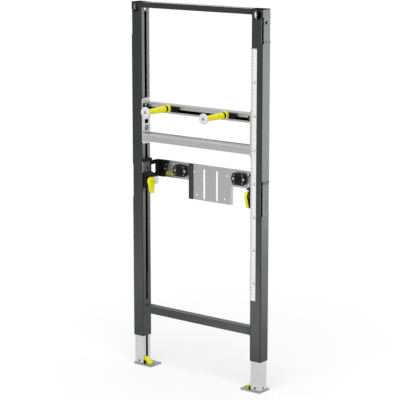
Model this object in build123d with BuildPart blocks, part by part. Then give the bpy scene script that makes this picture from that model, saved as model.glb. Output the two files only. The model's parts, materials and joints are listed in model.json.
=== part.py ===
"""Installation frame for a wall-hung wash basin, with height-adjustable rails and feet.

Millimetres. +Z is up, the front faces -Y and the floor is at Z = 0. Depths in the names below
are measured back from the front plane of the posts, and widths from the middle of the frame.
The pieces on the left are drawn and those on the right are their mirror images.
"""

import os

from build123d import *

os.makedirs("parts", exist_ok=True)

# Overall sizes.
frame_width = 500.0
post_length = 1056.0
foot_drop = 96.0

# Running gaps between pieces that move against each other.
slide_gap = 0.5
pin_gap = 0.1
swing_gap = 5.0

# Posts: square tube with a slot in the inner wall.
post_side = 40.0
post_wall = 2.0
post_corner = 3.0
post_slot_width = 11.0
post_slot_start = 118.0
post_slot_below_hole = 2.0
post_plug_thickness = 3.0
post_plug_flange = 1.5
post_plug_bevel = 0.5
top_hole_diameter = 27.0
top_hole_below_top = 17.0
top_hole_outset = 2.5
inner_hole_diameter = 9.0
inner_hole_below_top = 21.5
latch_hole_diameter = 8.0
latch_hole_rise = 47.0
latch_hole_depth = 12.0

# Recessed strips in the outer walls, with a cut corner beside each.
recess_depth = 1.8
recess_ramp = 10.0
recess_cut_face = 3.5
recess_cut_side = 8.5
upper_recess_below_top = 23.0
upper_recess_length = 77.0
lower_recess_below_top = 505.0
lower_recess_length = 104.0
wall_hole_diameter = 10.5
wall_hole_below_top = 40.0

# Crossbars: rectangular tubes flush with the post fronts.
crossbar_wall = 2.0
top_bar_height = 17.0
top_bar_depth = 40.0
low_bar_height = 24.0
low_bar_depth = 28.0
low_bar_rise = 79.5

# Scale on the front of the right post.
tape_width = 20.0
tape_length = 753.0
tape_thickness = 0.4
tape_below_top = 114.5
tape_inset = 0.6

# Feet: square tubes that slide in the posts, on flat plates.
foot_wall = 2.0
foot_insert = 200.0
foot_slot_width = 10.0
foot_slot_start = 17.0
foot_hole_diameter = 7.0
foot_hole_height = 12.5
plate_length = 72.5
plate_depth = 52.5
plate_overhang = 2.5
plate_thickness = 5.0
plate_corner = 3.0
plate_hole_diameter = 10.0
plate_hole_margin = 9.5
clip_reach = 17.0
clip_width = 14.0
clip_setback = 8.0
clip_height = 22.0
clip_toe = 6.0
clip_crest = 5.0
clip_bend = 3.0
clip_eye_diameter = 5.0

# Basin rail: slotted channel with its two side brackets and the bar under it.
rail_height = 829.0
rail_tall = 27.0
rail_depth = 32.0
rail_setback = 17.0
rail_wall = 2.0
rail_slot = 9.5
rail_slot_drop = 3.0
rail_corner = 2.0
bracket_thickness = 3.0
bracket_width = 36.5
bracket_corner = 5.0
bracket_above_rail = 14.5
bracket_below_bar = 9.5
bracket_window_width = 17.0
bracket_window_height = 13.0
bracket_window_depth = 18.5
bracket_window_corner = 2.0
bracket_window_below_rail = 45.0
bar_below_rail = 81.5
bar_height = 23.0
bar_flange = 30.0
bar_thickness = 2.5
bar_lip = 2.5
bar_bend = 4.0
clamp_below_rail = 65.0
clamp_shank_diameter = 8.0
clamp_head_diameter = 14.0
clamp_head_height = 4.0
clamp_foot_length = 24.0
clamp_foot_width = 14.0
clamp_foot_thickness = 6.0

# Basin studs: threaded rods with sleeves, rings and end caps.
stud_spacing = 222.0
stud_diameter = 10.0
stud_reach = 100.0
stud_rise = 3.5
stud_tail = 24.0
sleeve_wide = 20.0
sleeve_narrow = 15.5
sleeve_groove = 8.0
sleeve_neck = 13.0
ring_diameter = 25.0
ring_length = 9.0
ring_chamfer = 1.0
cap_diameter = 33.0
cap_length = 3.5
cap_round = 1.2
cap_socket_diameter = 9.0
cap_socket_depth = 1.5
slider_length = 44.0
slider_height = 15.5
slider_thickness = 10.0
slider_lead = 9.0
slider_corner = 2.0

# Fitting rail: sheet with the drain panel, carried by black end holders.
carrier_gap = 48.0
traverse_tall = 54.0
traverse_setback = 76.0
traverse_lap = 24.0
sheet = 2.0
drain_width = 164.0
drain_drop = 58.0
drain_flange = 8.0
drain_bend = 4.0
drain_slot_spacing = 49.6
drain_slot_width = 8.0
drain_slot_length = 95.0
drain_slot_margin = 4.0
drain_hole_diameter = 6.0
drain_hole_spacing = 128.0
drain_hole_upper_margin = 25.0
drain_hole_lower_spacing = 108.0
drain_hole_lower_margin = 15.0
rail_hole_diameter = 5.0
rail_hole_spacing = 290.0
rail_hole_margin = 11.0
strip_width = 16.0
strip_thickness = 3.0
strip_overhang = 2.0
strip_round = 1.5
holder_thickness = 4.0
holder_web = 6.0
holder_reach = 45.5
holder_slant = 16.0
holder_bend = 8.0
holder_window_length = 23.0
holder_window_height = 28.0
holder_window_margin = 4.0
holder_cap_height = 9.0
holder_cap_inset = 2.0
holder_cap_thickness = 7.0
holder_cap_lap = 4.0
side_plate_thickness = 3.0
side_plate_height = 33.0
side_plate_width = 35.0
side_plate_hole = 7.0
side_plate_hole_rise = 12.0
tab_thickness = 3.0
tab_setback = 46.0
tab_width = 28.0
tab_drop = 25.0
tab_corner = 4.0

# Pads for the pipe fittings.
pad_spacing = 228.0
pad_thickness = 11.0
pad_plate_thickness = 4.0
pad_body_rim = 2.0
pad_screw_rim = 4.0
pad_port_rim = 3.2
pad_screw_diameter = 5.0
pad_screw_spacing_x = 32.0
pad_screw_spacing_z = 24.0
pad_port_diameter = 9.0
pad_port_spacing = 38.0

# Quarter-turn levers that hold the fitting rail.
lever_drop = 28.0
lever_base_width = 28.0
lever_base_height = 50.0
lever_base_thickness = 11.0
lever_hood_reach = 20.0
lever_hood_lip = 2.0
lever_pin_diameter = 8.0
lever_head_diameter = 26.0
lever_head_lead = 2.0
lever_boss_diameter = 18.0
lever_arm_length = 38.0
lever_arm_thickness = 10.0
lever_tip_diameter = 12.0
lever_cap_diameter = 13.0
lever_cap_length = 4.0
lever_cap_bevel = 1.0
lever_hub_gap = 1.0
pin_head_length = 22.0
pin_head_width = 8.0
pin_head_thickness = 8.0

# Places that follow from the sizes above.
post_top = foot_drop + post_length
post_outer_x = frame_width / 2
post_inner_x = post_outer_x - post_side
post_mid_x = post_outer_x - post_side / 2
post_mid_y = post_side / 2
foot_side = post_side - 2 * post_wall - 2 * slide_gap
foot_top = foot_drop + foot_insert
foot_inner_x = post_mid_x - foot_side / 2
slider_front = rail_setback - slider_thickness
ring_front = slider_front - ring_length
cap_front = -stud_reach
cap_rear = cap_front + cap_length
drain_rear = traverse_setback + drain_flange
pad_front = traverse_setback - pad_thickness
bracket_x = post_inner_x - slide_gap
rail_end_x = bracket_x - bracket_thickness
bar_top = rail_height - bar_below_rail
bar_bottom = bar_top - bar_height
clamp_height = rail_height - clamp_below_rail
stud_x = stud_spacing / 2
stud_height = rail_height + stud_rise
stud_bore = stud_diameter / 2 + pin_gap
bracket_top = rail_height + rail_tall / 2 + bracket_above_rail
bracket_bottom = bar_bottom - bracket_below_bar
traverse_top = bracket_bottom - carrier_gap - holder_cap_height
traverse_height = traverse_top - traverse_tall / 2
traverse_bottom = traverse_top - traverse_tall
traverse_length = 2 * (bracket_x - holder_reach + traverse_lap)
side_plate_bottom = traverse_top - side_plate_height
lever_height = side_plate_bottom - lever_drop
lever_base_x = bracket_x - lever_base_thickness
lever_arm_x = lever_base_x - swing_gap
lever_hub_end_x = lever_arm_x - lever_arm_thickness

# Depth of the post fronts in the shared frame, which puts the origin under the middle of the part.
front_y = -(cap_front + drain_rear) / 2


def level_plane(z):
    """Plan view at height z: local x across, local y back from the post fronts."""
    return Plane(origin=(0, front_y, z), x_dir=(1, 0, 0), z_dir=(0, 0, 1))


def face_plane(depth):
    """Front view at a depth: local x across, local y up. It extrudes to the front."""
    return Plane(origin=(0, front_y + depth, 0), x_dir=(1, 0, 0), z_dir=(0, -1, 0))


def side_plane(x):
    """Side view at x: local x back from the post fronts, local y up. It extrudes to +X."""
    return Plane(origin=(x, front_y, 0), x_dir=(0, 1, 0), z_dir=(1, 0, 0))


def stud_plane():
    """Section through the left stud: local x out from its axis, local y to the back."""
    return Plane(origin=(-stud_x, front_y, stud_height), x_dir=(1, 0, 0), z_dir=(0, 0, 1))


stud_axis = Axis((-stud_x, front_y, stud_height), (0, 1, 0))

# Left post.
recesses = (
    (post_top - upper_recess_below_top - upper_recess_length, post_top - upper_recess_below_top),
    (post_top - lower_recess_below_top - lower_recess_length, post_top - lower_recess_below_top),
)
slot_low = foot_drop + post_slot_start
slot_high = post_top - inner_hole_below_top - inner_hole_diameter / 2 - post_slot_below_hole

with BuildPart() as post_left:
    with BuildSketch(level_plane(foot_drop)):
        with Locations((-post_mid_x, post_mid_y)):
            RectangleRounded(post_side, post_side, post_corner)
            Rectangle(post_side - 2 * post_wall, post_side - 2 * post_wall, mode=Mode.SUBTRACT)
    extrude(amount=post_length - post_plug_flange)
    for low, high in recesses:
        with BuildSketch(side_plane(-post_outer_x)):
            with Locations(((recess_cut_side + post_side) / 2, (low + high) / 2)):
                Rectangle(post_side - recess_cut_side, high - low)
        extrude(amount=recess_depth + post_wall, mode=Mode.SUBTRACT)
        with BuildSketch(face_plane(post_side)):
            with BuildLine():
                Polyline(
                    (-post_outer_x, low),
                    (-post_outer_x + recess_depth, low + recess_ramp),
                    (-post_outer_x + recess_depth, high - recess_ramp),
                    (-post_outer_x, high),
                    (-post_outer_x + post_wall, high),
                    (-post_outer_x + recess_depth + post_wall, high - recess_ramp),
                    (-post_outer_x + recess_depth + post_wall, low + recess_ramp),
                    (-post_outer_x + post_wall, low),
                    close=True,
                )
            make_face()
        extrude(amount=post_side - recess_cut_side)
        with BuildSketch(side_plane(-post_outer_x)):
            with Locations((recess_cut_side / 2, (low + high) / 2)):
                Rectangle(recess_cut_side, high - low)
        extrude(amount=recess_cut_face, mode=Mode.SUBTRACT)
    with BuildSketch(side_plane(-post_inner_x)):
        with Locations((post_mid_y, (slot_low + slot_high) / 2)):
            SlotOverall(slot_high - slot_low, post_slot_width, rotation=90)
        with Locations((post_mid_y, post_top - inner_hole_below_top)):
            Circle(inner_hole_diameter / 2)
        with Locations((latch_hole_depth, foot_drop + latch_hole_rise)):
            Circle(latch_hole_diameter / 2)
    extrude(amount=-post_wall, mode=Mode.SUBTRACT)
    with BuildSketch(side_plane(-post_outer_x)):
        with Locations((post_mid_y, post_top - wall_hole_below_top)):
            Circle(wall_hole_diameter / 2)
    extrude(amount=recess_depth + post_wall, mode=Mode.SUBTRACT)
    with BuildSketch(face_plane(post_side)):
        with Locations((-post_mid_x - top_hole_outset, post_top - top_hole_below_top)):
            Circle(top_hole_diameter / 2)
    extrude(amount=post_side, mode=Mode.SUBTRACT)
post_left.part.label = "post_left"

with BuildPart() as post_right:
    mirror(post_left.part, about=Plane.YZ)
post_right.part.label = "post_right"

# Plugs that close the posts, each with a flange on the end of the tube.
with BuildPart() as post_plug_left:
    with BuildSketch(level_plane(post_top - post_plug_thickness)):
        with Locations((-post_mid_x, post_mid_y)):
            Rectangle(post_side - 2 * post_wall, post_side - 2 * post_wall)
    extrude(amount=post_plug_thickness - post_plug_flange)
    with BuildSketch(level_plane(post_top - post_plug_flange)):
        with Locations((-post_mid_x, post_mid_y)):
            RectangleRounded(post_side, post_side, post_corner)
    extrude(amount=post_plug_flange)
    chamfer(faces().sort_by(Axis.Z)[-1].edges(), post_plug_bevel)
post_plug_left.part.label = "post_plug_left"

with BuildPart() as post_plug_right:
    mirror(post_plug_left.part, about=Plane.YZ)
post_plug_right.part.label = "post_plug_right"

# Crossbars between the inner walls of the posts.
with BuildPart() as top_crossbar:
    with BuildSketch(side_plane(-post_inner_x)):
        with Locations((top_bar_depth / 2, post_top - top_bar_height / 2)):
            RectangleRounded(top_bar_depth, top_bar_height, crossbar_wall)
            Rectangle(
                top_bar_depth - 2 * crossbar_wall,
                top_bar_height - 2 * crossbar_wall,
                mode=Mode.SUBTRACT,
            )
    extrude(amount=2 * post_inner_x)
top_crossbar.part.label = "top_crossbar"

with BuildPart() as bottom_crossbar:
    with BuildSketch(side_plane(-post_inner_x)):
        with Locations((low_bar_depth / 2, foot_drop + low_bar_rise + low_bar_height / 2)):
            RectangleRounded(low_bar_depth, low_bar_height, crossbar_wall)
            Rectangle(
                low_bar_depth - 2 * crossbar_wall,
                low_bar_height - 2 * crossbar_wall,
                mode=Mode.SUBTRACT,
            )
    extrude(amount=2 * post_inner_x)
bottom_crossbar.part.label = "bottom_crossbar"

# Measuring tape stuck on the right post.
tape_mid_x = post_inner_x + tape_inset + tape_width / 2

with BuildPart() as scale_tape:
    with BuildSketch(face_plane(0)):
        with Locations((tape_mid_x, post_top - tape_below_top - tape_length / 2)):
            Rectangle(tape_width, tape_length)
    extrude(amount=tape_thickness)
scale_tape.part.label = "scale_tape"

# Left foot: the tube, whose slot runs out at the top, its plate and the wedge-shaped clip between them.
slot_past_foot = foot_top + foot_slot_width

with BuildPart() as foot_tube_left:
    with BuildSketch(level_plane(plate_thickness)):
        with Locations((-post_mid_x, post_mid_y)):
            RectangleRounded(foot_side, foot_side, foot_wall)
            Rectangle(foot_side - 2 * foot_wall, foot_side - 2 * foot_wall, mode=Mode.SUBTRACT)
    extrude(amount=foot_top - plate_thickness)
    with BuildSketch(side_plane(-foot_inner_x)):
        with Locations((post_mid_y, (foot_slot_start + slot_past_foot) / 2)):
            SlotOverall(slot_past_foot - foot_slot_start, foot_slot_width, rotation=90)
    extrude(amount=-foot_wall, mode=Mode.SUBTRACT)
    with BuildSketch(face_plane(post_side)):
        with Locations((-post_mid_x, foot_hole_height)):
            Circle(foot_hole_diameter / 2)
    extrude(amount=post_side, mode=Mode.SUBTRACT)
    with BuildSketch(side_plane(-post_outer_x)):
        with Locations((post_mid_y, foot_hole_height)):
            Circle(foot_hole_diameter / 2)
    extrude(amount=post_side / 2, mode=Mode.SUBTRACT)
foot_tube_left.part.label = "foot_tube_left"

plate_outer_x = post_mid_x + foot_side / 2 + plate_overhang
plate_hole_x = plate_outer_x - plate_length + plate_hole_margin

with BuildPart() as foot_plate_left:
    with BuildSketch(level_plane(0)):
        with Locations((-plate_outer_x + plate_length / 2, plate_depth / 2 - plate_overhang)):
            RectangleRounded(plate_length, plate_depth, plate_corner)
        with Locations((-plate_hole_x, post_mid_y)):
            Circle(plate_hole_diameter / 2, mode=Mode.SUBTRACT)
    extrude(amount=plate_thickness)
foot_plate_left.part.label = "foot_plate_left"

with BuildPart() as foot_clip_left:
    with BuildSketch(face_plane(clip_setback + clip_width)):
        with BuildLine():
            FilletPolyline(
                (-foot_inner_x, plate_thickness),
                (-foot_inner_x, plate_thickness + clip_height),
                (-foot_inner_x + clip_crest, plate_thickness + clip_height),
                (-foot_inner_x + clip_reach, plate_thickness + clip_toe),
                (-foot_inner_x + clip_reach, plate_thickness),
                radius=clip_bend,
            )
            Line((-foot_inner_x + clip_reach, plate_thickness), (-foot_inner_x, plate_thickness))
        make_face()
    extrude(amount=clip_width)
    with BuildSketch(face_plane(clip_setback + clip_width)):
        with Locations((-foot_inner_x + clip_crest, plate_thickness + clip_toe)):
            Circle(clip_eye_diameter / 2)
    extrude(amount=clip_width, mode=Mode.SUBTRACT)
foot_clip_left.part.label = "foot_clip_left"

with BuildPart() as foot_tube_right:
    mirror(foot_tube_left.part, about=Plane.YZ)
foot_tube_right.part.label = "foot_tube_right"

with BuildPart() as foot_plate_right:
    mirror(foot_plate_left.part, about=Plane.YZ)
foot_plate_right.part.label = "foot_plate_right"

with BuildPart() as foot_clip_right:
    mirror(foot_clip_left.part, about=Plane.YZ)
foot_clip_right.part.label = "foot_clip_right"

# Basin rail and the bar below it, between the side brackets.
with BuildPart() as basin_rail:
    with BuildSketch(side_plane(-rail_end_x)):
        with Locations((rail_setback + rail_depth / 2, rail_height)):
            RectangleRounded(rail_depth, rail_tall, rail_corner)
            Rectangle(rail_depth - 2 * rail_wall, rail_tall - 2 * rail_wall, mode=Mode.SUBTRACT)
        with Locations((rail_setback + rail_wall / 2, rail_height - rail_slot_drop)):
            Rectangle(rail_wall, rail_slot, mode=Mode.SUBTRACT)
    extrude(amount=2 * rail_end_x)
    with BuildSketch(face_plane(rail_setback)):
        with Locations((0, stud_height)):
            with GridLocations(stud_spacing, 0, 2, 1):
                Circle(stud_bore)
    extrude(amount=-rail_wall, mode=Mode.SUBTRACT)
basin_rail.part.label = "basin_rail"

with BuildPart() as front_bar:
    with BuildSketch(side_plane(-rail_end_x)):
        with BuildLine():
            FilletPolyline((0, bar_bottom), (0, bar_top), (bar_flange, bar_top), radius=bar_bend)
            FilletPolyline(
                (bar_thickness, bar_bottom),
                (bar_thickness, bar_top - bar_thickness),
                (bar_flange, bar_top - bar_thickness),
                radius=bar_bend - bar_thickness,
            )
            Line((0, bar_bottom), (bar_thickness, bar_bottom))
            Line((bar_flange, bar_top), (bar_flange, bar_top - bar_thickness))
        make_face()
        with Locations((bar_flange - bar_thickness / 2, bar_top + bar_lip / 2)):
            Rectangle(bar_thickness, bar_lip)
    extrude(amount=2 * rail_end_x)
front_bar.part.label = "front_bar"

with BuildPart() as basin_bracket_left:
    with BuildSketch(side_plane(-bracket_x)):
        with Locations((bracket_width / 2, (bracket_top + bracket_bottom) / 2)):
            RectangleRounded(bracket_width, bracket_top - bracket_bottom, bracket_corner)
        with Locations((bracket_window_depth, rail_height - bracket_window_below_rail)):
            RectangleRounded(
                bracket_window_width,
                bracket_window_height,
                bracket_window_corner,
                mode=Mode.SUBTRACT,
            )
        with Locations((post_mid_y, clamp_height)):
            Circle(clamp_shank_diameter / 2 + pin_gap, mode=Mode.SUBTRACT)
    extrude(amount=bracket_thickness)
basin_bracket_left.part.label = "basin_bracket_left"

# Clamp screw through the post slot, with its foot inside the post.
foot_face_x = post_inner_x + post_wall + slide_gap

with BuildPart() as basin_clamp_left:
    with BuildSketch(side_plane(-rail_end_x)):
        with Locations((post_mid_y, clamp_height)):
            RegularPolygon(clamp_head_diameter / 2, 6)
    extrude(amount=clamp_head_height)
    with BuildSketch(side_plane(-rail_end_x)):
        with Locations((post_mid_y, clamp_height)):
            Circle(clamp_shank_diameter / 2)
    extrude(amount=-(foot_face_x - rail_end_x))
    with BuildSketch(side_plane(-foot_face_x)):
        with Locations((post_mid_y, clamp_height)):
            RectangleRounded(clamp_foot_width, clamp_foot_length, clamp_foot_width / 4)
    extrude(amount=-clamp_foot_thickness)
basin_clamp_left.part.label = "basin_clamp_left"

with BuildPart() as basin_bracket_right:
    mirror(basin_bracket_left.part, about=Plane.YZ)
basin_bracket_right.part.label = "basin_bracket_right"

with BuildPart() as basin_clamp_right:
    mirror(basin_clamp_left.part, about=Plane.YZ)
basin_clamp_right.part.label = "basin_clamp_right"

# Left basin stud, from the rail forward.
sleeve_rear = ring_front - sleeve_groove

with BuildPart() as stud_rod_left:
    with BuildSketch(face_plane(rail_setback + stud_tail)):
        with Locations((-stud_x, stud_height)):
            Circle(stud_diameter / 2)
    extrude(amount=rail_setback + stud_tail - cap_rear)
stud_rod_left.part.label = "stud_rod_left"

with BuildPart() as stud_slider_left:
    with BuildSketch(face_plane(rail_setback)):
        with Locations((-stud_x - slider_lead + slider_length / 2, stud_height)):
            RectangleRounded(slider_length, slider_height, slider_corner)
        with Locations((-stud_x, stud_height)):
            Circle(stud_bore, mode=Mode.SUBTRACT)
    extrude(amount=slider_thickness)
stud_slider_left.part.label = "stud_slider_left"

with BuildPart() as stud_ring_left:
    with BuildSketch(stud_plane()):
        with BuildLine():
            Polyline(
                (stud_bore, slider_front),
                (ring_diameter / 2, slider_front),
                (ring_diameter / 2, ring_front + ring_chamfer),
                (ring_diameter / 2 - ring_chamfer, ring_front),
                (stud_bore, ring_front),
                close=True,
            )
        make_face()
    revolve(axis=stud_axis)
stud_ring_left.part.label = "stud_ring_left"

with BuildPart() as stud_sleeve_left:
    with BuildSketch(stud_plane()):
        with BuildLine():
            Polyline(
                (stud_bore, ring_front),
                (sleeve_neck / 2, ring_front),
                (sleeve_neck / 2, sleeve_rear),
                (sleeve_wide / 2, sleeve_rear),
                (sleeve_narrow / 2, cap_rear),
                (stud_bore, cap_rear),
                close=True,
            )
        make_face()
    revolve(axis=stud_axis)
stud_sleeve_left.part.label = "stud_sleeve_left"

with BuildPart() as stud_cap_left:
    with BuildSketch(face_plane(cap_rear)):
        with Locations((-stud_x, stud_height)):
            Circle(cap_diameter / 2)
    extrude(amount=cap_length)
    fillet(edges().filter_by(GeomType.CIRCLE).sort_by(Axis.Y)[0], cap_round)
    with BuildSketch(face_plane(cap_front)):
        with Locations((-stud_x, stud_height)):
            Circle(cap_socket_diameter / 2)
    extrude(amount=-cap_socket_depth, mode=Mode.SUBTRACT)
stud_cap_left.part.label = "stud_cap_left"

with BuildPart() as stud_rod_right:
    mirror(stud_rod_left.part, about=Plane.YZ)
stud_rod_right.part.label = "stud_rod_right"

# The black sliders lie to the same side of both studs, so this one is moved and not mirrored.
with BuildPart() as stud_slider_right:
    with Locations((stud_spacing, 0, 0)):
        add(stud_slider_left.part)
stud_slider_right.part.label = "stud_slider_right"

with BuildPart() as stud_ring_right:
    mirror(stud_ring_left.part, about=Plane.YZ)
stud_ring_right.part.label = "stud_ring_right"

with BuildPart() as stud_sleeve_right:
    mirror(stud_sleeve_left.part, about=Plane.YZ)
stud_sleeve_right.part.label = "stud_sleeve_right"

with BuildPart() as stud_cap_right:
    mirror(stud_cap_left.part, about=Plane.YZ)
stud_cap_right.part.label = "stud_cap_right"

# Sheet of the fitting rail, with the slotted drain panel in its middle and the panel's sides bent back.
drain_bottom = traverse_bottom - drain_drop
strip_mid_x = -drain_width / 2 - strip_overhang + strip_width / 2

with BuildPart() as fitting_traverse:
    with BuildSketch(face_plane(traverse_setback)):
        with Locations((0, traverse_height)):
            Rectangle(traverse_length, traverse_tall)
        with Locations((0, (traverse_top + drain_bottom) / 2)):
            Rectangle(drain_width - 2 * drain_bend, traverse_top - drain_bottom)
        with Locations((0, drain_bottom + drain_slot_margin + drain_slot_length / 2)):
            with GridLocations(drain_slot_spacing, 0, 2, 1):
                SlotOverall(drain_slot_length, drain_slot_width, rotation=90, mode=Mode.SUBTRACT)
        with Locations((0, traverse_top - drain_hole_upper_margin)):
            with GridLocations(drain_hole_spacing, 0, 2, 1):
                Circle(drain_hole_diameter / 2, mode=Mode.SUBTRACT)
        with Locations((0, drain_bottom + drain_hole_lower_margin)):
            with GridLocations(drain_hole_lower_spacing, 0, 2, 1):
                Circle(drain_hole_diameter / 2, mode=Mode.SUBTRACT)
        with Locations((0, traverse_height)):
            with GridLocations(rail_hole_spacing, traverse_tall - 2 * rail_hole_margin, 2, 2):
                Circle(rail_hole_diameter / 2, mode=Mode.SUBTRACT)
        with Locations((-pad_spacing / 2, traverse_height), (pad_spacing / 2, traverse_height)):
            with GridLocations(pad_screw_spacing_x, pad_screw_spacing_z, 2, 2):
                Circle(pad_screw_diameter / 2, mode=Mode.SUBTRACT)
            with GridLocations(pad_port_spacing, 0, 2, 1):
                Circle(pad_port_diameter / 2, mode=Mode.SUBTRACT)
    extrude(amount=-sheet)
    with BuildSketch(level_plane(drain_bottom)):
        for side in (-1, 1):
            outer_x = side * drain_width / 2
            inner_x = side * (drain_width / 2 - sheet)
            lap_x = side * (drain_width / 2 - 2 * drain_bend)
            with BuildLine():
                FilletPolyline(
                    (lap_x, traverse_setback),
                    (outer_x, traverse_setback),
                    (outer_x, drain_rear),
                    radius=drain_bend,
                )
                Line((outer_x, drain_rear), (inner_x, drain_rear))
                FilletPolyline(
                    (inner_x, drain_rear),
                    (inner_x, traverse_setback + sheet),
                    (lap_x, traverse_setback + sheet),
                    radius=drain_bend - sheet,
                )
                Line((lap_x, traverse_setback + sheet), (lap_x, traverse_setback))
            make_face()
    extrude(amount=drain_drop)
fitting_traverse.part.label = "fitting_traverse"

with BuildPart() as drain_edge_strip:
    with BuildSketch(face_plane(traverse_setback)):
        with Locations((strip_mid_x, (traverse_top + drain_bottom) / 2)):
            Rectangle(strip_width, traverse_top - drain_bottom)
    extrude(amount=strip_thickness)
    fillet(faces().sort_by(Axis.Y)[0].edges().filter_by(Axis.Z), strip_round)
drain_edge_strip.part.label = "drain_edge_strip"

# Left end holder: an arm beside the post that turns in front of the sheet and ends on a slant.
holder_front = traverse_setback - holder_web
arm_front = side_plate_width

with BuildPart() as end_holder_left:
    with BuildSketch(level_plane(traverse_bottom)):
        with BuildLine():
            FilletPolyline(
                (-bracket_x, arm_front),
                (-bracket_x, traverse_setback),
                (-bracket_x + holder_reach, traverse_setback),
                radius=holder_bend,
            )
            FilletPolyline(
                (-bracket_x + holder_thickness, arm_front),
                (-bracket_x + holder_thickness, holder_front),
                (-bracket_x + holder_reach, holder_front),
                radius=holder_bend - holder_thickness,
            )
            Line((-bracket_x, arm_front), (-bracket_x + holder_thickness, arm_front))
            Line((-bracket_x + holder_reach, traverse_setback), (-bracket_x + holder_reach, holder_front))
        make_face()
    extrude(amount=traverse_tall)
    with BuildSketch(face_plane(traverse_setback)):
        with BuildLine():
            Polyline(
                (-bracket_x + holder_reach, traverse_top),
                (-bracket_x + holder_reach - holder_slant, traverse_bottom),
                (-bracket_x + holder_reach, traverse_bottom),
                close=True,
            )
        make_face()
    extrude(amount=holder_web, mode=Mode.SUBTRACT)
    with BuildSketch(side_plane(-bracket_x)):
        with Locations(
            (arm_front + holder_window_margin + holder_window_length / 2, traverse_height)
        ):
            Rectangle(holder_window_length, holder_window_height)
    extrude(amount=holder_thickness, mode=Mode.SUBTRACT)
    with BuildSketch(side_plane(-bracket_x)):
        with Locations(
            (
                (holder_cap_inset + arm_front + holder_cap_lap) / 2,
                traverse_top + holder_cap_height / 2,
            )
        ):
            Rectangle(arm_front + holder_cap_lap - holder_cap_inset, holder_cap_height)
    extrude(amount=holder_cap_thickness)
end_holder_left.part.label = "end_holder_left"

with BuildPart() as side_plate_left:
    with BuildSketch(side_plane(-bracket_x)):
        with Locations((side_plate_width / 2, traverse_top - side_plate_height / 2)):
            Rectangle(side_plate_width, side_plate_height)
        with Locations((post_mid_y, side_plate_bottom + side_plate_hole_rise)):
            Circle(side_plate_hole / 2, mode=Mode.SUBTRACT)
    extrude(amount=side_plate_thickness)
side_plate_left.part.label = "side_plate_left"

# Left tab: a short plate that hangs from the end holder beside the post.
with BuildPart() as holder_tab_left:
    with BuildSketch(side_plane(-bracket_x)):
        with Locations((tab_setback + tab_width / 2, traverse_bottom - tab_drop / 2)):
            Rectangle(tab_width, tab_drop)
        fillet(vertices().group_by(Axis.Y)[0], tab_corner)
    extrude(amount=tab_thickness)
holder_tab_left.part.label = "holder_tab_left"

# Left pad: a plate drawn round its four screw holes and two larger ports, on a narrower body.
with BuildPart() as fitting_pad_left:
    with BuildSketch(face_plane(traverse_setback)):
        with Locations((-pad_spacing / 2, traverse_height)):
            with GridLocations(pad_screw_spacing_x, pad_screw_spacing_z, 2, 2):
                Circle(pad_screw_diameter / 2 + pad_body_rim)
        make_hull()
    extrude(amount=pad_thickness - pad_plate_thickness)
    with BuildSketch(face_plane(pad_front + pad_plate_thickness)):
        with Locations((-pad_spacing / 2, traverse_height)):
            with GridLocations(pad_screw_spacing_x, pad_screw_spacing_z, 2, 2):
                Circle(pad_screw_diameter / 2 + pad_screw_rim)
            with GridLocations(pad_port_spacing, 0, 2, 1):
                Circle(pad_port_diameter / 2 + pad_port_rim)
        make_hull()
    extrude(amount=pad_plate_thickness)
    with BuildSketch(face_plane(pad_front)):
        with Locations((-pad_spacing / 2, traverse_height)):
            with GridLocations(pad_screw_spacing_x, pad_screw_spacing_z, 2, 2):
                Circle(pad_screw_diameter / 2)
            with GridLocations(pad_port_spacing, 0, 2, 1):
                Circle(pad_port_diameter / 2)
    extrude(amount=-pad_thickness, mode=Mode.SUBTRACT)
fitting_pad_left.part.label = "fitting_pad_left"

with BuildPart() as end_holder_right:
    mirror(end_holder_left.part, about=Plane.YZ)
end_holder_right.part.label = "end_holder_right"

with BuildPart() as side_plate_right:
    mirror(side_plate_left.part, about=Plane.YZ)
side_plate_right.part.label = "side_plate_right"

with BuildPart() as holder_tab_right:
    mirror(holder_tab_left.part, about=Plane.YZ)
holder_tab_right.part.label = "holder_tab_right"

with BuildPart() as fitting_pad_right:
    mirror(fitting_pad_left.part, about=Plane.YZ)
fitting_pad_right.part.label = "fitting_pad_right"

# Left lever base under the side plate, with a sloping hood over the lever's head.
hood_low = lever_height + lever_head_diameter / 2 + lever_head_lead + swing_gap
base_bottom = side_plate_bottom - lever_base_height

with BuildPart() as lever_base_left:
    with BuildSketch(face_plane(post_mid_y + lever_base_width / 2)):
        with BuildLine():
            Polyline(
                (-bracket_x, base_bottom),
                (-bracket_x, side_plate_bottom),
                (-bracket_x + lever_base_thickness, side_plate_bottom),
                (-bracket_x + lever_hood_reach, hood_low + lever_hood_lip),
                (-bracket_x + lever_hood_reach, hood_low),
                (-bracket_x + lever_base_thickness, hood_low),
                (-bracket_x + lever_base_thickness, base_bottom),
                close=True,
            )
        make_face()
    extrude(amount=lever_base_width)
    with BuildSketch(side_plane(-bracket_x)):
        with Locations((post_mid_y, lever_height)):
            Circle(lever_pin_diameter / 2 + pin_gap)
    extrude(amount=lever_base_thickness, mode=Mode.SUBTRACT)
lever_base_left.part.label = "lever_base_left"

lever_cap_x = lever_hub_end_x - lever_hub_gap

with BuildPart() as lever_pin_left:
    with BuildSketch(side_plane(-foot_face_x)):
        with Locations((post_mid_y, lever_height)):
            RectangleRounded(pin_head_length, pin_head_width, pin_head_width / 4)
    extrude(amount=-pin_head_thickness)
    with BuildSketch(side_plane(-foot_face_x)):
        with Locations((post_mid_y, lever_height)):
            Circle(lever_pin_diameter / 2)
    extrude(amount=foot_face_x - lever_cap_x)
    with BuildSketch(side_plane(-lever_cap_x)):
        with Locations((post_mid_y, lever_height)):
            Circle(lever_cap_diameter / 2)
    extrude(amount=lever_cap_length)
    chamfer(edges().group_by(Axis.X)[-1], lever_cap_bevel)
lever_pin_left.part.label = "lever_pin_left"

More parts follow.
